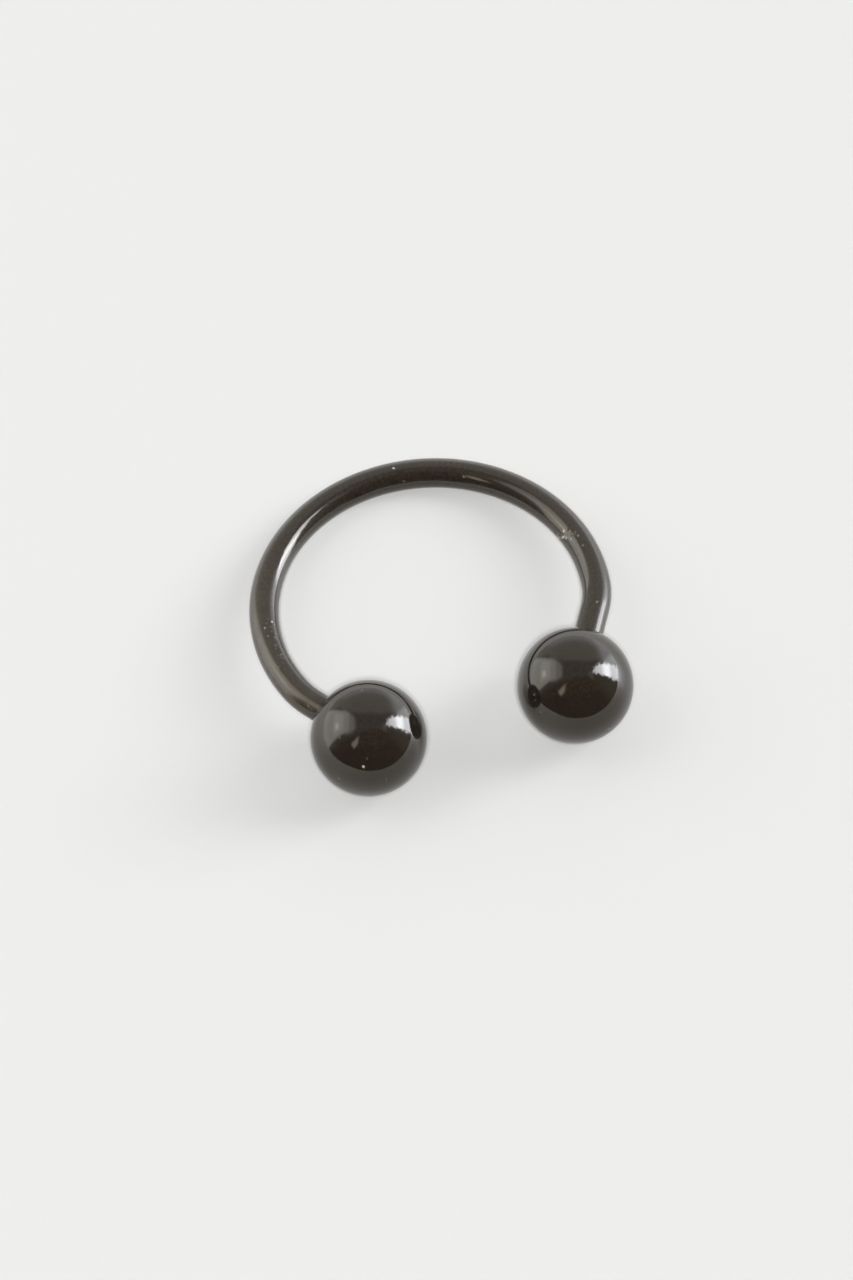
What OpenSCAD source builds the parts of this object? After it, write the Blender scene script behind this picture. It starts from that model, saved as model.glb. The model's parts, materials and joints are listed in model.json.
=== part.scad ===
// Septum ring: a round wire bent to an open ring, with a ball screwed on each end.
// It lies as it was put down. The two balls hold up the open side, and the wire
// touches the surface at the middle of the back. X runs from ball to ball, the
// opening faces -Y, and the origin is on the surface under the middle of the ring.
// All lengths are in millimetres and all angles in degrees.

/* [Wire] */
// Diameter of the wire with its black coat
wire_d = 1.0; // [0.9:0.05:1.1]
// Inside diameter of the round part
inside_d = 10.2; // [10:0.1:11]
// Radius of the tighter bend before each end, at the middle of the wire
bend_r = 3.0; // [2.5:0.5:4]
// How much thinner the wire is past the start of a bend, and again past its end
bend_thins = 0.01; // [0.006:0.001:0.02]

/* [Right end] */
// Angle of the round part from the middle of the back to the right bend
right_arc = 97; // [94:1:100]
// Angle of the right bend
right_bend = 21; // [17:1:24]
// Straight length from the right bend to the middle of the ball
right_straight = 3.25; // [2.9:0.05:3.4]

/* [Left end] */
// Angle of the round part from the middle of the back to the left bend
left_arc = 110; // [106:1:112]
// Angle of the left bend
left_bend = 16; // [13:1:18]
// Straight length from the left bend to the middle of the ball
left_straight = 2.4; // [2.2:0.05:2.6]

/* [Balls] */
// Diameter of each ball
ball_d = 3.9; // [3.7:0.05:4]
// Distance from the middle of the ball to the shoulder of the wire inside it
shoulder_at = 1.6; // [1.5:0.05:1.65]
// Width of the bevel round the mouth of each ball
mouth_bevel = 0.08; // [0.05:0.01:0.1]

/* [Stud] */
// Outside diameter of the screw stud at each end of the wire
stud_d = 0.8; // [0.7:0.05:0.8]
// Length of the stud from the shoulder to its tip
stud_length = 1.9; // [1.6:0.1:2]
// Chamfer at the tip of the stud
stud_chamfer = 0.12; // [0.05:0.01:0.15]

/* [Fit] */
// Gap all round the stud in its hole, and round the wire in its seat
fit_gap = 0.03; // [0.02:0.01:0.04]
// Gap between the shoulder of the wire and the bottom of its seat
seat_gap = 0.03; // [0.02:0.01:0.05]
// Room past the tip of the stud
hole_spare = 0.2; // [0.1:0.05:0.4]

/* [Hidden] */
$fn = 96;
coat = "#26211c";

wire_r = wire_d / 2;
end_d = wire_d - 2 * bend_thins;
ball_r = ball_d / 2;
ring_r = inside_d / 2 + wire_r;
// Length by which each thinner stretch of wire starts inside the one before it
lap = 0.05;

// The flat ring is drawn round [0, 0] with its back towards +Y. An angle a on the
// right side counts clockwise from the back; the left side is the mirror image.
function out(a) = [sin(a), cos(a)];
function ahead(a) = [cos(a), -sin(a)];
function bend_end(arc, bend) = (ring_r - bend_r) * out(arc) + bend_r * out(arc + bend);
function ball_middle(arc, bend, straight) = bend_end(arc, bend) + straight * ahead(arc + bend);

right_middle = ball_middle(right_arc, right_bend, right_straight);
left_flipped = ball_middle(left_arc, left_bend, left_straight);
left_middle = [-left_flipped.x, left_flipped.y];

// Turn that brings both balls level along X, and how far in front they then are
between = right_middle - left_middle;
turn = atan2(between.y, between.x);
balls_y = right_middle.y * cos(turn) - right_middle.x * sin(turn);

// Lean of the ring when both balls and the middle of the back touch the surface
lean = asin((ball_r - wire_r) / (ring_r - balls_y));
ring_height = wire_r + ring_r * sin(lean);
back_y = ring_r * cos(lean) + wire_r;
front_y = balls_y * cos(lean) - ball_r;

// Puts the flat ring down on the surface
module laid_down() {
    translate([0, -(back_y + front_y) / 2, ring_height])
        rotate([-lean, 0, 0])
            rotate([0, 0, -turn])
                children();
}

// A length of wire of diameter d, bent to a radius, from angle a0 to angle a1
module bent_wire(radius, a0, a1, d) {
    rotate([0, 0, 90 - a1])
        rotate_extrude(angle = a1 - a0)
            translate([radius, 0])
                circle(d = d);
}

// Moves to the middle of a ball, with +Z pointing out along the end of the wire
module at_ball(arc, bend, straight) {
    translate(ball_middle(arc, bend, straight))
        rotate([0, 0, -(arc + bend)])
            rotate([0, 90, 0])
                children();
}

// Straight end of the wire, its shoulder, and the stud that the ball screws on
module wire_end(straight) {
    stud_tip = stud_length - shoulder_at;
    translate([0, 0, -straight - lap])
        cylinder(d = end_d, h = straight + lap - shoulder_at);
    translate([0, 0, -shoulder_at - lap])
        cylinder(d = stud_d, h = stud_length + lap - stud_chamfer);
    translate([0, 0, stud_tip - stud_chamfer])
        cylinder(d1 = stud_d, d2 = stud_d - 2 * stud_chamfer, h = stud_chamfer);
}

// The bend and the straight end of one side
module side(arc, bend, straight) {
    lap_angle = lap / bend_r * 180 / PI;
    translate((ring_r - bend_r) * out(arc))
        bent_wire(bend_r, arc - lap_angle, arc + bend, wire_d - bend_thins);
    at_ball(arc, bend, straight)
        wire_end(straight);
}

// One ball with the screw hole and the seat that the wire's shoulder sinks into
module ball() {
    hole_end = stud_length - shoulder_at + hole_spare;
    seat_r = end_d / 2 + fit_gap;
    mouth_at = sqrt(ball_r * ball_r - seat_r * seat_r);
    difference() {
        sphere(d = ball_d);
        translate([0, 0, -ball_r])
            cylinder(d = stud_d + 2 * fit_gap, h = ball_r + hole_end);
        translate([0, 0, -ball_d])
            cylinder(r = seat_r, h = ball_d - shoulder_at + seat_gap);
        translate([0, 0, -mouth_at - mouth_bevel])
            cylinder(r1 = seat_r + 2 * mouth_bevel, r2 = seat_r, h = 2 * mouth_bevel);
    }
}

module bar() {
    color(coat)
        laid_down()
            union() {
                bent_wire(ring_r, -left_arc, right_arc, wire_d);
                side(right_arc, right_bend, right_straight);
                mirror([1, 0, 0])
                    side(left_arc, left_bend, left_straight);
            }
}

module left_ball() {
    color(coat)
        laid_down()
            mirror([1, 0, 0])
                at_ball(left_arc, left_bend, left_straight)
                    ball();
}

module right_ball() {
    color(coat)
        laid_down()
            at_ball(right_arc, right_bend, right_straight)
                ball();
}

bar();
left_ball();
right_ball();
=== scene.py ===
# A black septum ring: one wire bent to an open ring, with a ball screwed on each end.
# It lies with its two balls and the middle of its back on a plain pale floor.
import json
import math

import bpy
import numpy as np
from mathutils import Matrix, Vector


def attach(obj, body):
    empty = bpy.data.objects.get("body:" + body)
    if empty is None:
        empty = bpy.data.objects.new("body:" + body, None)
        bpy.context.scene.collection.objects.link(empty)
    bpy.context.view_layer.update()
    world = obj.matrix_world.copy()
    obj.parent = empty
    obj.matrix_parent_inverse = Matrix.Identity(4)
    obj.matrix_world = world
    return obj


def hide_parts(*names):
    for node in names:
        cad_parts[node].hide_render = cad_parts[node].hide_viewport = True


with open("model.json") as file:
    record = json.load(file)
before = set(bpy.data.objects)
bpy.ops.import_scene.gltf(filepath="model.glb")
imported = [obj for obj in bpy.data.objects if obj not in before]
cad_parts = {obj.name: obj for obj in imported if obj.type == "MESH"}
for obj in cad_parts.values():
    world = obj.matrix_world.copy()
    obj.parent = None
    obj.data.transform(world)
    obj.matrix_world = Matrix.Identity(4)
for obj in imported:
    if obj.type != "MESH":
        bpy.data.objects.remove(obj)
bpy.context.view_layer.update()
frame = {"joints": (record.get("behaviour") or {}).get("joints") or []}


# The wire
# One length of 1.0 mm surgical steel wire, bent cold to a round ring with a tighter bend
# before each straight end. Each end is turned down to a stud and threaded, and then the
# whole wire is dipped in black lacquer. The film has a few nibs, a scar and a chip.
MM = 0.001
WIRE_RADIUS = 0.5 * MM
END_RADIUS = 0.49 * MM
RING_RADIUS = 5.6 * MM
BEND_RADIUS = 3.0 * MM
RIGHT_SIDE = {"arc": 97, "bend": 21, "straight": 3.25 * MM}
LEFT_SIDE = {"arc": 110, "bend": 16, "straight": 2.4 * MM}
BALL_RADIUS = 1.95 * MM
SHOULDER_AT = 1.6 * MM
STUD_RADIUS = 0.4 * MM
STUD_LENGTH = 1.9 * MM
STUD_CHAMFER = 0.12 * MM
THREAD_PITCH = 0.25 * MM
THREAD_DEPTH = 0.07 * MM
THREAD_RUN_OUT = 0.12 * MM
WIRE_SIDES = 112
WIRE_STEP = 0.06 * MM
FINE_STEP = 0.03 * MM
THREAD_STEP = 0.0125 * MM


def outwards(angle):
    """Unit direction in the flat ring, an angle in degrees round from the middle of the back."""
    return np.array([math.sin(math.radians(angle)), math.cos(math.radians(angle))])


def onwards(angle):
    """Unit direction along the wire where it has turned by that angle."""
    return np.array([math.cos(math.radians(angle)), -math.sin(math.radians(angle))])


def bend_end(side):
    turned = side["arc"] + side["bend"]
    return (RING_RADIUS - BEND_RADIUS) * outwards(side["arc"]) + BEND_RADIUS * outwards(turned)


def flat_ball_middle(side):
    return bend_end(side) + side["straight"] * onwards(side["arc"] + side["bend"])


# The flat ring leans until both balls and the middle of the back touch the floor.
right_flat = flat_ball_middle(RIGHT_SIDE)
left_flat = flat_ball_middle(LEFT_SIDE) * (-1, 1)
between = right_flat - left_flat
flat_turn = math.atan2(between[1], between[0])
balls_y = right_flat[1] * math.cos(flat_turn) - right_flat[0] * math.sin(flat_turn)
lean = math.asin((BALL_RADIUS - WIRE_RADIUS) / (RING_RADIUS - balls_y))
ring_height = WIRE_RADIUS + RING_RADIUS * math.sin(lean)
back_y = RING_RADIUS * math.cos(lean) + WIRE_RADIUS
front_y = balls_y * math.cos(lean) - BALL_RADIUS
shift_y = -(back_y + front_y) / 2


def laid_down(x, y, z=0.0):
    """A point of the flat ring, where it is once the ring lies on the floor."""
    turned_x = x * math.cos(flat_turn) + y * math.sin(flat_turn)
    turned_y = y * math.cos(flat_turn) - x * math.sin(flat_turn)
    return np.array([
        turned_x,
        turned_y * math.cos(lean) + z * math.sin(lean) + shift_y,
        -turned_y * math.sin(lean) + z * math.cos(lean) + ring_height,
    ])


def half_wire(side, fine_from, fine_to):
    """Rows of flat x, flat y and radius, from the middle of the back to the tip of a stud."""
    arc, bend = side["arc"], side["bend"]
    turned = arc + bend
    rows = []
    length, arc_length = 0.0, math.radians(arc) * RING_RADIUS
    while length < arc_length - WIRE_STEP / 2:
        rows.append((*(RING_RADIUS * outwards(math.degrees(length / RING_RADIUS))), WIRE_RADIUS))
        length += FINE_STEP if fine_from < length < fine_to else WIRE_STEP
    bend_middle = (RING_RADIUS - BEND_RADIUS) * outwards(arc)
    bend_steps = round(math.radians(bend) * BEND_RADIUS / WIRE_STEP)
    for i in range(bend_steps):
        share = i / bend_steps
        radius = WIRE_RADIUS + (END_RADIUS - WIRE_RADIUS) * share
        rows.append((*(bend_middle + BEND_RADIUS * outwards(arc + bend * share)), radius))
    start, along = bend_end(side), onwards(turned)
    to_shoulder = side["straight"] - SHOULDER_AT
    straight_steps = round(to_shoulder / WIRE_STEP)
    for i in range(straight_steps):
        rows.append((*(start + along * to_shoulder * i / straight_steps), END_RADIUS))
    # The turned shoulder has a small rounded edge.
    for before, less in ((0.03, 0.0), (0.018, 0.002), (0.008, 0.008), (0.002, 0.018), (0.0, 0.03)):
        rows.append((*(start + along * (to_shoulder - before * MM)), END_RADIUS - less * MM))
    stud_steps = round((STUD_LENGTH - STUD_CHAMFER) / THREAD_STEP)
    for i in range(stud_steps + 1):
        past = 0.003 * MM + (STUD_LENGTH - STUD_CHAMFER - 0.003 * MM) * i / stud_steps
        rows.append((*(start + along * (to_shoulder + past)), STUD_RADIUS))
    for share in (0.33, 0.66, 0.97, 1.0):
        past = STUD_LENGTH - STUD_CHAMFER * (1 - share)
        less = STUD_CHAMFER * share + (0.015 * MM if share == 1.0 else 0.0)
        rows.append((*(start + along * (to_shoulder + past)), STUD_RADIUS - less))
    return rows


def add(tree, kind, links=None, **settings):
    """Adds a node. links gives its inputs, by name or number, as an output or a plain value."""
    made = tree.nodes.new(kind)
    for name, value in settings.items():
        setattr(made, name, value)
    for key, value in (links or {}).items():
        if isinstance(value, bpy.types.NodeSocket):
            tree.links.new(value, made.inputs[key])
        else:
            made.inputs[key].default_value = value
    return made


def colour(hex_value):
    """A colour written as sRGB hex, turned to the linear values that Blender's nodes take."""
    parts = [int(hex_value[i:i + 2], 16) / 255 for i in (1, 3, 5)]
    return [p / 12.92 if p <= 0.04045 else ((p + 0.055) / 1.055) ** 2.4 for p in parts] + [1.0]


# Gloss black lacquer on steel, dipped and stoved. It is a hard clear-faced film, so it
# mirrors its surroundings sharply, a little wavily and warmly, over a deep brown black.
# Nibs show as small pale dull spots, which are painted glints, specks of dust show as pale spots
# too, and chips show as brown ones. Where a painted sheen lies on it, it is browner and duller.
# The pale colour is for specks of dust and for painted glints, and the light brown is a painted
# sheen.
DUST_AND_GLINT_PALE = "#dbd6ca"
CHIP_BROWN = "#4a352f"
PAINTED_SHEEN_BROWN = "#5a5140"
PAINTED_SHEEN_ROUGHNESS = 0.2
MARK_ROUGHNESS = 0.5
LACQUER_IOR = 1.58


def black_lacquer(name, grain_from, grain_stretch, wave_height, blacks, dull, film_tint):
    """The lacquer, with its faint waves on Object coordinates or on a named attribute. Its
    two blacks are the pigment's, dull is its least and most roughness, and the tint is what
    the film gives to its reflections."""
    made = bpy.data.materials.new(name)
    made.use_nodes = True
    tree = made.node_tree
    shader = tree.nodes["Principled BSDF"]
    if grain_from is None:
        place = add(tree, "ShaderNodeTexCoord").outputs["Object"]
    else:
        place = add(tree, "ShaderNodeAttribute", attribute_name=grain_from).outputs["Vector"]
    stretched = add(tree, "ShaderNodeMapping", {"Vector": place, "Scale": grain_stretch})
    # Waves about 1 mm long, as the film flowed out, and finer ones about 0.2 mm long.
    waves = add(tree, "ShaderNodeTexNoise", {
        "Vector": stretched.outputs[0], "Scale": 1 / (1.1 * MM), "Detail": 1.0})
    ripples = add(tree, "ShaderNodeTexNoise", {
        "Vector": stretched.outputs[0], "Scale": 1 / (0.22 * MM), "Detail": 2.0})
    long_bump = add(tree, "ShaderNodeBump", {
        "Height": waves.outputs[0], "Strength": 1.0, "Distance": wave_height})
    fine_bump = add(tree, "ShaderNodeBump", {
        "Height": ripples.outputs[0], "Normal": long_bump.outputs[0],
        "Strength": 1.0, "Distance": wave_height / 8})
    tree.links.new(fine_bump.outputs[0], shader.inputs["Normal"])
    tree.links.new(fine_bump.outputs[0], shader.inputs["Coat Normal"])
    # Handling has dulled the film unevenly, in patches about 0.5 mm across.
    patches = add(tree, "ShaderNodeTexNoise", {
        "Vector": place, "Scale": 1 / (0.5 * MM), "Detail": 3.0})
    dulled = add(tree, "ShaderNodeMapRange", {
        "Value": patches.outputs[0], "From Min": 0.4, "From Max": 0.75,
        "To Min": dull[0], "To Max": dull[1]})
    # Pale spots: specks of dust, and painted glints on the nibs and the scar
    pale = add(tree, "ShaderNodeAttribute", attribute_name="spot").outputs["Fac"]
    chipped = add(tree, "ShaderNodeAttribute", attribute_name="chip").outputs["Fac"]
    worn = add(tree, "ShaderNodeAttribute", attribute_name="worn").outputs["Fac"]
    marked = add(tree, "ShaderNodeMath", {0: pale, 1: chipped}, operation="MAXIMUM")
    roughness = add(tree, "ShaderNodeMix", {
        "Factor": worn, "A": dulled.outputs[0], "B": PAINTED_SHEEN_ROUGHNESS}, data_type="FLOAT")
    roughness = add(tree, "ShaderNodeMix", {
        "Factor": marked.outputs[0], "A": roughness.outputs[0], "B": MARK_ROUGHNESS},
        data_type="FLOAT")
    tree.links.new(roughness.outputs[0], shader.inputs["Roughness"])
    # The pigment is a little uneven, in grains that show at about 0.1 mm.
    grains = add(tree, "ShaderNodeTexNoise", {
        "Vector": place, "Scale": 1 / (0.1 * MM), "Detail": 1.0})
    pigment = add(tree, "ShaderNodeMapRange", {
        "Value": grains.outputs[0], "From Min": 0.35, "From Max": 0.65})
    tint = add(tree, "ShaderNodeMix", {
        "Factor": pigment.outputs[0], 6: colour(blacks[0]),
        7: colour(blacks[1])}, data_type="RGBA")
    # Painted sheen: the film is tinted towards a light brown where that mark is set, more in some
    # patches than in others.
    sheen_share = add(tree, "ShaderNodeMath", {
        0: worn, 1: add(tree, "ShaderNodeMapRange", {
            "Value": patches.outputs[0], "From Min": 0.35, "From Max": 0.65,
            "To Min": 0.06, "To Max": 0.28}).outputs[0]}, operation="MULTIPLY")
    tint = add(tree, "ShaderNodeMix", {
        "Factor": sheen_share.outputs[0], 6: tint.outputs[2], 7: colour(PAINTED_SHEEN_BROWN)},
        data_type="RGBA")
    tint = add(tree, "ShaderNodeMix", {
        "Factor": chipped, 6: tint.outputs[2], 7: colour(CHIP_BROWN)}, data_type="RGBA")
    tint = add(tree, "ShaderNodeMix", {
        "Factor": pale, 6: tint.outputs[2], 7: colour(DUST_AND_GLINT_PALE)}, data_type="RGBA")
    tree.links.new(tint.outputs[2], shader.inputs["Base Color"])
    shader.inputs["IOR"].default_value = LACQUER_IOR
    shader.inputs["Specular Tint"].default_value = colour(film_tint)
    return made


# On the wire the film is thin over a drawn surface. Besides its sharp face it has a faint
# broad haze, so the wire is a little greyer than the balls beside bright parts of a room.
wire_lacquer = black_lacquer(
    "black_lacquer_on_wire", "unbent", (0.35, 1.0, 1.0), 0.005 * MM,
    ("#1f1b17", "#2b2621"), (0.06, 0.12), "#fff3dc")
wire_film = wire_lacquer.node_tree.nodes["Principled BSDF"].inputs
wire_film["Coat Weight"].default_value = 1.0
wire_film["Coat Roughness"].default_value = 0.36
wire_film["Coat IOR"].default_value = 1.2

right_rows = half_wire(RIGHT_SIDE, 7.0 * MM, 8.9 * MM)
left_rows = [(-x, y, r) for x, y, r in half_wire(LEFT_SIDE, 8.0 * MM, 8.9 * MM)]
wire_rows = left_rows[:0:-1] + right_rows

path = bpy.data.curves.new("wire_path", "CURVE")
path.dimensions = "3D"
line = path.splines.new("POLY")
line.points.add(len(wire_rows) - 1)
for point, (x, y, radius) in zip(line.points, wire_rows):
    point.co = (*laid_down(x, y), 1.0)
    point.radius = radius
wire = bpy.data.objects.new("wire_with_studs", path)
bpy.context.scene.collection.objects.link(wire)

# A round wire swept along its path, with a thread cut into the first and last stretch
sweep = bpy.data.node_groups.new("threaded_wire", "GeometryNodeTree")
sweep.interface.new_socket("Path", in_out="INPUT", socket_type="NodeSocketGeometry")
SWEEP_INPUTS = {
    "Sides": ("NodeSocketInt", WIRE_SIDES),
    "Thread pitch": ("NodeSocketFloat", THREAD_PITCH),
    "Thread depth": ("NodeSocketFloat", THREAD_DEPTH),
    "Threaded length": ("NodeSocketFloat", STUD_LENGTH - THREAD_RUN_OUT),
    "Thread run-out": ("NodeSocketFloat", THREAD_RUN_OUT),
    "Lacquer": ("NodeSocketMaterial", wire_lacquer),
}
sweep_sockets = {
    name: sweep.interface.new_socket(name, in_out="INPUT", socket_type=kind)
    for name, (kind, value) in SWEEP_INPUTS.items()
}
sweep.interface.new_socket("Wire", in_out="OUTPUT", socket_type="NodeSocketGeometry")
given = add(sweep, "NodeGroupInput").outputs
along = add(sweep, "GeometryNodeSplineParameter").outputs["Length"]
total = add(sweep, "GeometryNodeSplineLength").outputs["Length"]
middle = add(sweep, "GeometryNodeInputPosition").outputs[0]
remembered = add(sweep, "GeometryNodeCaptureAttribute", {"Geometry": given["Path"]})
for kind, name, value in (
        ("VECTOR", "Middle", middle), ("FLOAT", "Along", along), ("FLOAT", "Total", total)):
    remembered.capture_items.new(kind, name)
    sweep.links.new(value, remembered.inputs[name])
round_line = add(sweep, "GeometryNodeCurvePrimitiveCircle", {
    "Resolution": given["Sides"], "Radius": 1.0})
turn_at = add(sweep, "GeometryNodeCaptureAttribute", {"Geometry": round_line.outputs[0]})
turn_at.capture_items.new("FLOAT", "Turn")
sweep.links.new(
    add(sweep, "GeometryNodeSplineParameter").outputs["Factor"], turn_at.inputs["Turn"])
tube = add(sweep, "GeometryNodeCurveToMesh", {
    "Curve": remembered.outputs[0],
    "Profile Curve": turn_at.outputs[0],
    "Scale": add(sweep, "GeometryNodeInputRadius").outputs[0],
    "Fill Caps": True,
})
along_here, total_here = remembered.outputs["Along"], remembered.outputs["Total"]
turns = add(sweep, "ShaderNodeMath", {
    0: add(sweep, "ShaderNodeMath", {
        0: along_here, 1: given["Thread pitch"]}, operation="DIVIDE").outputs[0],
    1: turn_at.outputs["Turn"]}, operation="SUBTRACT")
groove = add(sweep, "ShaderNodeMath", {0: turns.outputs[0], 1: 0.5}, operation="PINGPONG")
flank = add(sweep, "ShaderNodeMapRange", {
    "Value": groove.outputs[0], "From Min": 0.04, "From Max": 0.44,
    "To Min": 0.0, "To Max": 1.0}, interpolation_type="SMOOTHSTEP")
from_end = add(sweep, "ShaderNodeMath", {
    0: along_here,
    1: add(sweep, "ShaderNodeMath", {
        0: total_here, 1: along_here}, operation="SUBTRACT").outputs[0]}, operation="MINIMUM")
run_out_end = add(sweep, "ShaderNodeMath", {
    0: given["Threaded length"], 1: given["Thread run-out"]}, operation="SUBTRACT")
cut_here = add(sweep, "ShaderNodeMapRange", {
    "Value": from_end.outputs[0], "From Min": given["Threaded length"],
    "From Max": run_out_end.outputs[0], "To Min": 0.0, "To Max": 1.0})
depth = add(sweep, "ShaderNodeMath", {
    0: add(sweep, "ShaderNodeMath", {
        0: flank.outputs[0], 1: cut_here.outputs[0]}, operation="MULTIPLY").outputs[0],
    1: given["Thread depth"]}, operation="MULTIPLY")
inwards = add(sweep, "ShaderNodeVectorMath", {
    0: add(sweep, "ShaderNodeVectorMath", {
        0: remembered.outputs["Middle"],
        1: add(sweep, "GeometryNodeInputPosition").outputs[0]}, operation="SUBTRACT").outputs[0],
}, operation="NORMALIZE")
cut = add(sweep, "ShaderNodeVectorMath", {0: inwards.outputs[0]}, operation="SCALE")
sweep.links.new(depth.outputs[0], cut.inputs["Scale"])
threaded = add(sweep, "GeometryNodeSetPosition", {
    "Geometry": tube.outputs[0], "Offset": cut.outputs[0]})
# The straightened wire's coordinates, for the lacquer: along it, and across it twice
turn_angle = add(sweep, "ShaderNodeMath", {
    0: turn_at.outputs["Turn"], 1: 2 * math.pi}, operation="MULTIPLY").outputs[0]
unbent = add(sweep, "ShaderNodeCombineXYZ", {
    0: along_here,
    1: add(sweep, "ShaderNodeMath", {
        0: add(sweep, "ShaderNodeMath", {0: turn_angle}, operation="COSINE").outputs[0],
        1: WIRE_RADIUS}, operation="MULTIPLY").outputs[0],
    2: add(sweep, "ShaderNodeMath", {
        0: add(sweep, "ShaderNodeMath", {0: turn_angle}, operation="SINE").outputs[0],
        1: WIRE_RADIUS}, operation="MULTIPLY").outputs[0]})
stored = add(sweep, "GeometryNodeStoreNamedAttribute", {
    "Geometry": threaded.outputs[0], "Name": "unbent"}, data_type="FLOAT_VECTOR")
sweep.links.new(unbent.outputs[0], stored.inputs["Value"])
smooth = add(sweep, "GeometryNodeSetShadeSmooth", {"Geometry": stored.outputs[0]})
realized = add(sweep, "GeometryNodeRealizeInstances", {"Geometry": smooth.outputs[0]})
finished = add(sweep, "GeometryNodeSetMaterial", {
    "Geometry": realized.outputs[0], "Material": given["Lacquer"]})
add(sweep, "NodeGroupOutput", {0: finished.outputs[0]})

swept = wire.modifiers.new("threaded_wire", "NODES")
swept.node_group = sweep
for name, (kind, value) in SWEEP_INPUTS.items():
    swept[sweep_sockets[name].identifier] = value


def plain_mesh(thing):
    """The evaluated shape of an object as a plain mesh of its own."""
    bpy.context.view_layer.update()
    shown = thing.evaluated_get(bpy.context.evaluated_depsgraph_get())
    return bpy.data.meshes.new_from_object(shown)


wire_mesh = plain_mesh(wire)
bpy.data.objects.remove(wire)
wire = bpy.data.objects.new("wire_with_studs", wire_mesh)
bpy.context.scene.collection.objects.link(wire)


def wire_place(distance, turn_round):
    """A point on the wire and the way out of it there. Distance runs along the wire from the
    middle of the back, in mm, to the right or, if negative, to the left. The angle goes
    round the wire from its top, outwards, in degrees."""
    side = RIGHT_SIDE if distance >= 0 else LEFT_SIDE
    far, arc_length = abs(distance) * MM, math.radians(side["arc"]) * RING_RADIUS
    angle = math.degrees(far / RING_RADIUS)
    flat = RING_RADIUS * outwards(angle)
    if far > arc_length:
        angle = side["arc"] + min(math.degrees((far - arc_length) / BEND_RADIUS), side["bend"])
        flat = (RING_RADIUS - BEND_RADIUS) * outwards(side["arc"]) + BEND_RADIUS * outwards(angle)
        past = far - arc_length - math.radians(side["bend"]) * BEND_RADIUS
        flat = flat + max(past, 0.0) * onwards(angle)
    mirror = np.array([1 if distance >= 0 else -1, 1])
    flat, out = flat * mirror, outwards(angle) * mirror
    spin = math.radians(turn_round)
    core = laid_down(*flat)
    way = laid_down(*(flat + out * math.sin(spin)), math.cos(spin)) - core
    return core + WIRE_RADIUS * way, way


def points_of(mesh):
    co = np.empty(len(mesh.vertices) * 3)
    mesh.vertices.foreach_get("co", co)
    return co.reshape(-1, 3)


def swell(points, at, way, width, height):
    """Raises a round bump, or presses in a pit where the height is negative."""
    near = np.linalg.norm(points - at, axis=1) / width
    rise = np.where(near < 1, 0.5 + 0.5 * np.cos(np.pi * np.clip(near, 0, 1)), 0)
    points += rise[:, None] * height * np.array(way)


def mark(marks, points, at, width, strength):
    """Makes a mark with a soft edge, which may be a pale speck, a chip or wear."""
    near = np.linalg.norm(points - at, axis=1) / width
    np.maximum(marks, max(strength, 0) * np.clip(1.6 * (1 - near), 0, 1), out=marks)


SHARP_ANGLE = 50


def settle(mesh, points, **marks):
    """Puts the moved points and the named marks back into a mesh."""
    mesh.vertices.foreach_set("co", points.ravel())
    for name, values in marks.items():
        mesh.attributes.new(name, "FLOAT", "POINT").data.foreach_set("value", values)
    mesh.set_sharp_from_angle(angle=math.radians(SHARP_ANGLE))
    mesh.update()


# Nibs and drips in the film: along the wire, round it, width and height, all but the angle in mm
NIBS = (
    (7.36, -29, 0.07, 0.014), (7.20, -80, 0.11, 0.020), (7.58, -50, 0.08, 0.016),
    (7.73, -38, 0.07, 0.014), (7.45, -62, 0.10, 0.012), (7.48, -18, 0.07, 0.006),
    (7.79, -7, 0.05, 0.008), (8.23, -9, 0.05, 0.008),
    (-11.90, 52, 0.06, 0.014), (-12.05, 57, 0.06, 0.012), (-11.72, 46, 0.06, 0.010),
)
# Pits and chips, in the same form, pressed in
PITS = (
    (7.50, -38, 0.07, 0.010), (7.66, -58, 0.07, 0.010), (7.34, -55, 0.07, 0.010),
    (7.62, -26, 0.07, 0.008), (7.70, -16, 0.06, 0.006), (8.60, 12, 0.06, 0.010),
    (-11.50, 49, 0.05, 0.006), (-11.62, 49, 0.06, 0.010), (-11.74, 50, 0.06, 0.010),
    (-11.86, 51, 0.06, 0.008),
)
# Pale specks of dust, and painted glints on the nibs and the scar: along the wire, round it, width
# and how pale
SPECKS_AND_GLINTS = (
    (0.31, 0, 0.050, 0.95), (0.57, -60, 0.040, 0.25), (-8.09, -28, 0.050, 0.80),
    (-8.34, 6, 0.045, 0.50), (-8.69, 2, 0.040, 0.30), (-8.77, -24, 0.040, 0.30),
    (-9.28, -8, 0.035, 0.12), (-9.85, 22, 0.035, 0.12), (10.66, 12, 0.045, 0.50),
    (7.27, -43, 0.055, 1.00), (7.14, -92, 0.070, 0.50), (7.19, -86, 0.060, 0.70),
    (7.27, -80, 0.060, 0.40), (7.37, -68, 0.045, 0.90), (7.41, -62, 0.055, 1.00),
    (7.43, -56, 0.045, 0.90), (7.55, -52, 0.050, 1.00), (7.73, -38, 0.050, 0.40),
    (7.79, -7, 0.045, 0.30), (7.60, -8, 0.040, 0.20), (8.23, -9, 0.045, 0.25),
    (2.77, -44, 0.040, 0.25), (-12.05, 57, 0.035, 0.50), (-11.72, 46, 0.030, 0.25),
)
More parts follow.
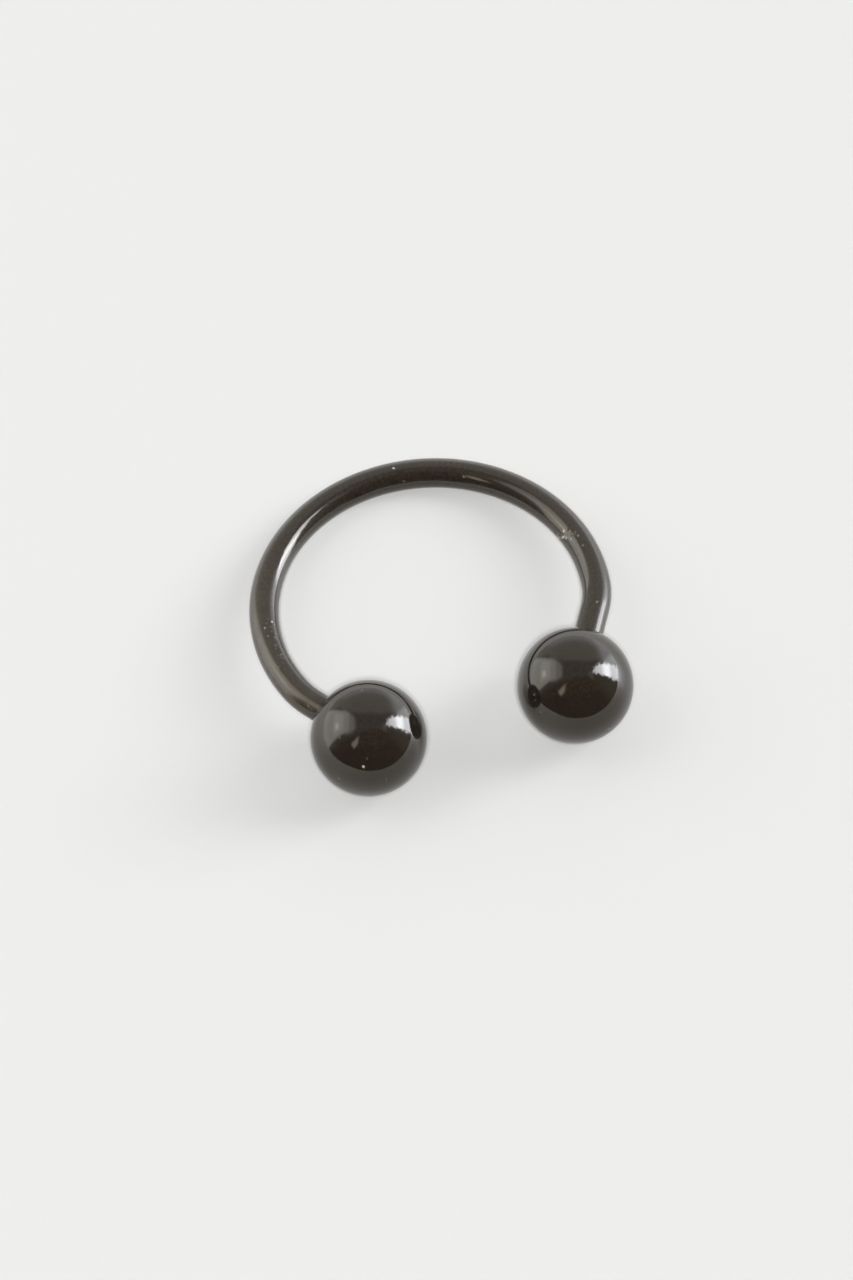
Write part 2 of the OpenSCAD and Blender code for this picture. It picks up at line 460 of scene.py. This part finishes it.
# Brown chips, in the same form: a scar across the wire, and one beside the left ball
CHIPS = (
    (7.12, -88, 0.07, 0.50), (7.26, -70, 0.08, 0.60), (7.38, -58, 0.08, 0.70),
    (7.48, -46, 0.08, 0.60), (7.52, -34, 0.07, 0.60), (7.58, -22, 0.07, 0.60),
    (7.68, -12, 0.08, 0.60), (7.80, -4, 0.07, 0.40), (7.92, 2, 0.06, 0.30),
    (-11.50, 49, 0.05, 0.40), (-11.60, 49, 0.06, 0.60), (-11.70, 49, 0.06, 0.60),
    (-11.80, 50, 0.06, 0.50), (-11.90, 51, 0.05, 0.40),
)
wire_points = points_of(wire_mesh)
wire_spots = np.zeros(len(wire_points))
wire_chips = np.zeros(len(wire_points))
for distance, turn_round, width, height in NIBS:
    swell(wire_points, *wire_place(distance, turn_round), width * MM, height * MM)
for distance, turn_round, width, height in PITS:
    swell(wire_points, *wire_place(distance, turn_round), width * MM, -height * MM)
for distance, turn_round, width, strength in SPECKS_AND_GLINTS:
    mark(wire_spots, wire_points, wire_place(distance, turn_round)[0], width * MM, strength)
for distance, turn_round, width, strength in CHIPS:
    mark(wire_chips, wire_points, wire_place(distance, turn_round)[0], width * MM, strength)
# Crumbs of the scar beside its line, and fine dust caught in the film on the left side
scatter = np.random.default_rng(7)
for i in range(46):
    round_scar = scatter.uniform(-98, -18)
    along_scar = 7.13 + (round_scar + 90) / 80 * 0.50 + scatter.normal(0, 0.10)
    at, way = wire_place(along_scar, round_scar)
    mark(wire_chips, wire_points, at, scatter.uniform(0.03, 0.06) * MM, scatter.uniform(0.3, 0.9))
    mark(wire_spots, wire_points, at, 0.03 * MM, scatter.uniform(-0.1, 0.14))
    swell(wire_points, at, way, 0.05 * MM, scatter.uniform(-0.012, 0.006) * MM)
for i in range(26):
    at = wire_place(-scatter.uniform(7.9, 10.2), scatter.normal(-14, 16))[0]
    mark(wire_spots, wire_points, at, 0.03 * MM, scatter.uniform(0.05, 0.22))
# A painted highlight along a fine scratch on the inner side, near the middle of the back, drawn as
# a thin pale line
for i in range(14):
    at = wire_place(2.8 + i * 0.06, -44 + i * 0.2)[0]
    mark(wire_spots, wire_points, at, 0.022 * MM, 0.12 + 0.05 * math.sin(i / 4))
# A painted warm sheen on the outer left of it, from the middle of that side to the ball, where it
# mirrors the pale wall. The film is duller there too.
wire_worn = np.zeros(len(wire_points))
for i in range(27):
    at = wire_place(-5.2 - i * 0.25, 45)[0]
    mark(wire_worn, wire_points, at, 0.6 * MM, min(1.0, 0.2 + i * 0.1))
settle(wire_mesh, wire_points, spot=wire_spots, chip=wire_chips, worn=wire_worn)
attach(wire, "bar")
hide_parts("bar")


# The balls
# Two steel balls of 3.9 mm, turned on a lathe and polished, each with a blind threaded
# hole and a counterbore that the wire's shoulder sinks into. They are dipped in the same
# black lacquer, and screwed on so far that only the round outside shows.
HOLE_RADIUS = 0.43 * MM
HOLE_END = 0.5 * MM
HOLE_THREAD_DEPTH = 0.022 * MM
SEAT_RADIUS = 0.52 * MM
SEAT_FLOOR = 1.57 * MM
MOUTH_BEVEL = 0.08 * MM
BALL_SIDES = 256
BALL_RINGS = 150

ball_lacquer = black_lacquer(
    "black_lacquer_on_balls", None, (1.0, 1.0, 1.0), 0.0035 * MM,
    ("#201b17", "#27221d"), (0.05, 0.13), "#fff7e5")


def ball_profile():
    """Rows of distance along the axis, radius and whether the thread is cut there, from the
    far side of the ball round to its mouth, down the seat and to the end of the hole."""
    mouth_at = math.sqrt(BALL_RADIUS ** 2 - SEAT_RADIUS ** 2)
    bevel_start = math.asin((SEAT_RADIUS + MOUTH_BEVEL) / BALL_RADIUS)
    rows = []
    for i in range(BALL_RINGS):
        angle = (math.pi - bevel_start - 0.008) * (i + 1) / BALL_RINGS
        rows.append((BALL_RADIUS * math.cos(angle), BALL_RADIUS * math.sin(angle), 0.0))
    bevel_in = mouth_at - MOUTH_BEVEL
    for share in (0.1, 0.2, 0.5, 0.8, 0.95):
        radius = SEAT_RADIUS + MOUTH_BEVEL * (1 - share)
        depth_in = math.sqrt(BALL_RADIUS ** 2 - (SEAT_RADIUS + MOUTH_BEVEL) ** 2)
        rows.append((-(depth_in + (bevel_in - depth_in) * share), radius, 0.0))
    for at in (bevel_in - 0.012 * MM, bevel_in - 0.1 * MM, SEAT_FLOOR + 0.02 * MM):
        rows.append((-at, SEAT_RADIUS, 0.0))
    rows.append((-SEAT_FLOOR - 0.004 * MM, SEAT_RADIUS - 0.004 * MM, 0.0))
    rows.append((-SEAT_FLOOR, SEAT_RADIUS - 0.02 * MM, 0.0))
    rows.append((-SEAT_FLOOR, HOLE_RADIUS + 0.02 * MM, 0.0))
    rows.append((-SEAT_FLOOR + 0.01 * MM, HOLE_RADIUS + 0.004 * MM, 0.0))
    thread_steps = round((SEAT_FLOOR + HOLE_END) / (2 * THREAD_STEP))
    for i in range(1, thread_steps):
        at = -SEAT_FLOOR + (SEAT_FLOOR + HOLE_END) * i / thread_steps
        rows.append((at, HOLE_RADIUS, min(1.0, i / 6, (thread_steps - i) / 6)))
    rows.append((HOLE_END, HOLE_RADIUS - 0.003 * MM, 0.0))
    return rows


def turned_ball(name, middle, axis):
    """A ball turned about its screw axis, which points away from the wire."""
    axis = np.array(axis) / np.linalg.norm(axis)
    level = np.cross(axis, (0, 0, 1))
    level /= np.linalg.norm(level)
    upright = np.cross(level, axis)
    rows = ball_profile()
    angles = 2 * np.pi * np.arange(BALL_SIDES) / BALL_SIDES
    ways = np.cos(angles)[:, None] * level + np.sin(angles)[:, None] * upright
    points = [middle + axis * BALL_RADIUS]
    # The angles run backwards round the axis, so this sign makes the same right-handed thread
    # as the studs have.
    for at, radius, cut_share in rows:
        phase = (at / THREAD_PITCH + angles / (2 * np.pi)) % 1.0
        ridge = 0.5 + 0.5 * np.cos(2 * np.pi * phase)
        radii = radius - cut_share * HOLE_THREAD_DEPTH * ridge
        points.extend(middle + axis * at + ways * radii[:, None])
    points.append(middle + axis * HOLE_END)
    faces = []
    for j in range(BALL_SIDES):
        k = (j + 1) % BALL_SIDES
        faces.append((0, 1 + k, 1 + j))
        for i in range(len(rows) - 1):
            a, b = 1 + i * BALL_SIDES, 1 + (i + 1) * BALL_SIDES
            faces.append((a + j, a + k, b + k, b + j))
        a = 1 + (len(rows) - 1) * BALL_SIDES
        faces.append((a + j, a + k, len(points) - 1))
    mesh = bpy.data.meshes.new(name)
    mesh.from_pydata([tuple(p) for p in points], [], faces)
    mesh.shade_smooth()
    mesh.materials.append(ball_lacquer)
    ball = bpy.data.objects.new(name, mesh)
    bpy.context.scene.collection.objects.link(ball)
    return ball


# Specks on each ball: compass angle from +X, height angle, width in mm and how pale
BALL_SPECKS = {
    "left_ball": (
        (-112, 33, 0.055, 1.0), (-108, 42, 0.040, 0.12), (-137, 8, 0.045, 0.30),
        (-157, 51, 0.040, 0.15), (-88, 14, 0.040, 0.20), (88, 62, 0.045, 0.15),
    ),
    "right_ball": (
        (-158, 29, 0.035, 0.12), (-146, 22, 0.035, 0.15), (-163, 32, 0.030, 0.12),
        (-71, -1, 0.040, 0.40), (-72, -11, 0.035, 0.30),
    ),
}
BALL_MIDDLES = {
    "left_ball": laid_down(*left_flat),
    "right_ball": laid_down(*right_flat),
}
axis_of = {joint["child"]: joint["axis"] for joint in frame["joints"]}
for node, specks in BALL_SPECKS.items():
    middle = BALL_MIDDLES[node]
    ball = turned_ball(node + "_turned", middle, axis_of[node])
    ball_points = points_of(ball.data)
    ball_spots = np.zeros(len(ball_points))
    for compass, height, width, strength in specks:
        c, h = math.radians(compass), math.radians(height)
        way = np.array([math.cos(h) * math.cos(c), math.cos(h) * math.sin(c), math.sin(h)])
        mark(ball_spots, ball_points, middle + BALL_RADIUS * way, width * MM, strength)
    settle(ball.data, ball_points, spot=ball_spots)
    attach(ball, node)
    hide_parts(node)


# The floor
# A plain pale floor of smooth card under the ring. It is matt from above and catches the
# window a little at a low angle. It ends about 28 mm in front of the balls and left of them,
# out of view, so that the dark side of the room starts a little lower in their reflections.
FLOOR_REACH = 800 * MM
FLOOR_FRONT = -32 * MM
FLOOR_LEFT = -33 * MM
floor_mesh = bpy.data.meshes.new("floor")
floor_mesh.from_pydata(
    [(FLOOR_LEFT, FLOOR_FRONT, 0), (FLOOR_REACH, FLOOR_FRONT, 0),
     (FLOOR_REACH, FLOOR_REACH, 0), (FLOOR_LEFT, FLOOR_REACH, 0)], [], [(0, 1, 2, 3)])
floor = bpy.data.objects.new("floor", floor_mesh)
bpy.context.scene.collection.objects.link(floor)
floor_white = bpy.data.materials.new("calendered_card")
floor_white.use_nodes = True
card = floor_white.node_tree
card.nodes.clear()
matt = add(card, "ShaderNodeBsdfDiffuse", {"Color": (0.744, 0.743, 0.736, 1), "Roughness": 0.8})
facing = add(card, "ShaderNodeFresnel", {"IOR": 1.8})
sheen = add(card, "ShaderNodeBsdfAnisotropic", {
    "Color": facing.outputs[0], "Roughness": 0.55})
both = add(card, "ShaderNodeAddShader", {0: matt.outputs[0], 1: sheen.outputs[0]})
add(card, "ShaderNodeOutputMaterial", {"Surface": both.outputs[0]})
floor_mesh.materials.append(floor_white)


# The light
# Soft daylight in a room: a tall window to the right, pale walls behind, a paler wall to
# the left, and the dark side of the room in front. The lacquer mirrors the room as it is.
# The floor gets a softer share of it, and about half of its light from a lamp over the front.
room = bpy.data.worlds.new("room")
room.use_nodes = True
sky = room.node_tree
sky.nodes.clear()
look = add(sky, "ShaderNodeTexCoord").outputs["Generated"]
# The same look a few degrees astray, here one way and there another, for the ragged edge
# of a blind
RAGGEDNESS = 0.3
astray = add(sky, "ShaderNodeTexNoise", {"Vector": look, "Scale": 16.0, "Detail": 2.0})
astray = add(sky, "ShaderNodeVectorMath", {
    0: astray.outputs["Color"], 1: (0.5, 0.5, 0.5)}, operation="SUBTRACT")
ragged_look = add(sky, "ShaderNodeVectorMath", {
    0: astray.outputs[0], 1: (RAGGEDNESS,) * 3, 2: look}, operation="MULTIPLY_ADD").outputs[0]


def way_to(compass, height):
    c, h = math.radians(compass), math.radians(height)
    return Vector((math.cos(h) * math.cos(c), math.cos(h) * math.sin(c), math.sin(h)))


def panel(under, corners, soft, shade, seen=look):
    """Lays a flat panel over what is under it. Corners are compass and height angles in
    order round it, clockwise as seen from the ring, and soft is its edge in degrees."""
    cover = None
    ways = [way_to(*corner) for corner in corners]
    for here, there in zip(ways, ways[1:] + ways[:1]):
        edge = here.cross(there).normalized()
        side = add(sky, "ShaderNodeVectorMath", {0: seen, 1: -edge}, operation="DOT_PRODUCT")
        reach = math.sin(math.radians(soft))
        inside = add(sky, "ShaderNodeMapRange", {
            "Value": side.outputs["Value"], "From Min": -reach, "From Max": reach,
            "To Min": 0.0, "To Max": 1.0}, interpolation_type="SMOOTHSTEP").outputs[0]
        if cover is not None:
            inside = add(sky, "ShaderNodeMath", {
                0: cover, 1: inside}, operation="MULTIPLY").outputs[0]
        cover = inside
    top = shade if isinstance(shade, bpy.types.NodeSocket) else (*shade, 1)
    return add(sky, "ShaderNodeMix", {
        "Factor": cover, 6: under, 7: top}, data_type="RGBA").outputs[2]


def room_of(ceiling, panels):
    light = (*ceiling, 1)
    for corners, soft, shade, *seen in panels:
        light = panel(light, corners, soft, shade, *seen)
    return light


FAR_WALL = (0.75, 0.75, 0.75)
PALE_WALL = (1.5, 1.53, 1.6)
WINDOW_MIDDLE = (9.4, 10.0, 11.8)
WINDOW_LOWER = (16.5, 18.0, 21.5)
# The window is brightest a little above its foot, and dimmer and bluer towards its top.
window = room_of(WINDOW_MIDDLE, (
    ([(-24, 48), (-24, 75), (24, 75), (24, 48)], 5, (6.2, 6.7, 8.3)),
    ([(-24, 18), (-24, 33), (24, 33), (24, 18)], 6, WINDOW_LOWER),
))
mirrored = room_of((0.33, 0.32, 0.32), (
    # the far wall, and its lighter foot
    ([(14, -3), (28, 59), (118, 59), (124, -3)], 6, FAR_WALL),
    ([(18, -3), (25, 11), (122, 11), (124, -3)], 9, (1.05, 1.08, 1.15)),
    # the glow beside the window
    ([(8, -3), (14, 36), (44, 20), (62, -3)], 12, (1.9, 2.0, 2.25)),
    ([(8, -3), (9, 31), (18, 27), (29, -3)], 4, (3.5, 3.75, 4.2)),
    # the corner between the far wall and the pale one
    ([(106, -3), (108, 38), (117, 42), (119, -3)], 3, (0.82, 0.82, 0.79)),
    # the pale wall, brighter by steps towards the lamp on it
    ([(121, 28), (131, 60), (-178, 63), (-175, 46), (176, 36)], 5, PALE_WALL),
    ([(125, -9), (126, 45), (150, 53), (176, 50), (177, -9)], 3, (2.25, 2.32, 2.38)),
    ([(131, 17), (132, 37), (168, 40), (169, 17)], 4, (2.95, 3.05, 3.2)),
    ([(149, 23), (149, 30), (161, 31), (162, 23)], 2, (4.6, 4.8, 5.0)),
    # the dark side of the room, darker still low down, with a lit door in it
    ([(-178, -15), (-165, 56), (-25, 57), (-10, -15)], 5, (0.17, 0.125, 0.085)),
    ([(-38, -15), (-36, 54), (-14, 54), (-10, -15)], 7, (0.27, 0.27, 0.24)),
    ([(-175, -15), (-150, 30), (-50, 36), (-40, -15)], 6, (0.105, 0.065, 0.04)),
    ([(-147, 60), (-137, 46), (-141, 34), (-152, 38)], 3, (2.1, 1.95, 1.9)),
    # a streak of light beside the top of the window, and the window itself
    ([(-36, 53), (-34, 63), (-10, 65), (-10, 55)], 4, (0.68, 0.72, 0.8)),
    ([(-15, 58), (2, 54), (9, 49), (12, 28), (11, -3), (-9, -3), (-13, 28)], 1.6, window,
     ragged_look),
))
# The softer set is the same room with fewer panels, in plain greys. The walls count for three
# fifths there, apart from the top of the pale one, and the window for two fifths.
WALL_SHARE = 0.6
WINDOW_SHARE = 0.4


def grey(colour_of, share=1.0):
    """A grey as bright as the middle channel of a colour, times a share."""
    return (colour_of[1] * share,) * 3


spread = room_of((0.1, 0.1, 0.1), (
    # the dark side of the room, with a little light low down
    ([(-178, -3), (-165, 56), (-25, 57), (-10, -3)], 8, (0.0, 0.0, 0.0)),
    ([(-178, -3), (-172, 40), (-20, 40), (-12, -3)], 8, (0.1, 0.1, 0.1)),
    # the far wall, the pale one and the window
    ([(14, -3), (28, 59), (118, 59), (124, -3)], 6, grey(FAR_WALL, WALL_SHARE)),
    ([(124, -3), (128, 62), (-178, 62), (-178, -3)], 5, grey(PALE_WALL)),
    ([(124, -3), (126, 49), (-178, 49), (-178, -3)], 5, grey(PALE_WALL, WALL_SHARE)),
    ([(-14, 30), (-14, 57), (12, 52), (12, 30)], 3, grey(WINDOW_MIDDLE, WINDOW_SHARE)),
    ([(-14, 15), (-14, 36), (12, 36), (12, 15)], 3, grey(WINDOW_LOWER, WINDOW_SHARE)),
))
ray = add(sky, "ShaderNodeLightPath").outputs
light = add(sky, "ShaderNodeMix", {
    "Factor": ray["Is Glossy Ray"], 6: spread, 7: mirrored}, data_type="RGBA").outputs[2]
light = add(sky, "ShaderNodeMix", {
    "Factor": ray["Is Camera Ray"], 6: light, 7: (0.84, 0.84, 0.83, 1)},
    data_type="RGBA").outputs[2]
shine = add(sky, "ShaderNodeBackground", {"Color": light, "Strength": 1.0})
add(sky, "ShaderNodeOutputWorld", {"Surface": shine.outputs[0]})
bpy.context.scene.world = room
bpy.context.scene.view_settings.view_transform = "Standard"

# The lamp stands behind the camera, in the same direction from the ring.
LAMP_COMPASS = -106.02
LAMP_HEIGHT = 61.85
LAMP_AWAY = 3.0
LAMP_RADIUS = 0.18
LAMP_POWER = 58.0
lamp_way = way_to(LAMP_COMPASS, LAMP_HEIGHT)
lamp = bpy.data.objects.new("soft_lamp", bpy.data.lights.new("soft_lamp", "AREA"))
bpy.context.scene.collection.objects.link(lamp)
lamp.data.shape = "DISK"
lamp.data.size = 2 * LAMP_RADIUS
lamp.data.energy = LAMP_POWER
lamp.location = LAMP_AWAY * lamp_way
lamp.rotation_mode = "QUATERNION"
lamp.rotation_quaternion = lamp_way.to_track_quat("Z", "Y")
# Its shade keeps it out of the lacquer's reflections.
lamp.visible_glossy = False


# The camera
# It looks down at 62 degrees from a little left of the front, through a long lens.
CAMERA_AZIMUTH = -16.02
CAMERA_ELEVATION = 61.85
CAMERA_DISTANCE = 0.4
CAMERA_LENS = 334.4
AIM_LEFT = 0.147 * MM
AIM_DOWN = 0.512 * MM
turn, tilt = math.radians(CAMERA_AZIMUTH), math.radians(CAMERA_ELEVATION)
back = Vector((math.sin(turn) * math.cos(tilt), -math.cos(turn) * math.cos(tilt), math.sin(tilt)))
right = Vector((math.cos(turn), math.sin(turn), 0))
up = back.cross(right)
camera = bpy.data.objects.new("camera", bpy.data.cameras.new("camera"))
bpy.context.scene.collection.objects.link(camera)
camera.data.lens = CAMERA_LENS
camera.data.sensor_width = 36
camera.data.clip_start = 0.01
camera.rotation_mode = "QUATERNION"
camera.rotation_quaternion = back.to_track_quat("Z", "Y")
aim = Vector((0, shift_y, 0)) - AIM_LEFT * right - AIM_DOWN * up
camera.location = aim + CAMERA_DISTANCE * back
bpy.context.scene.camera = camera
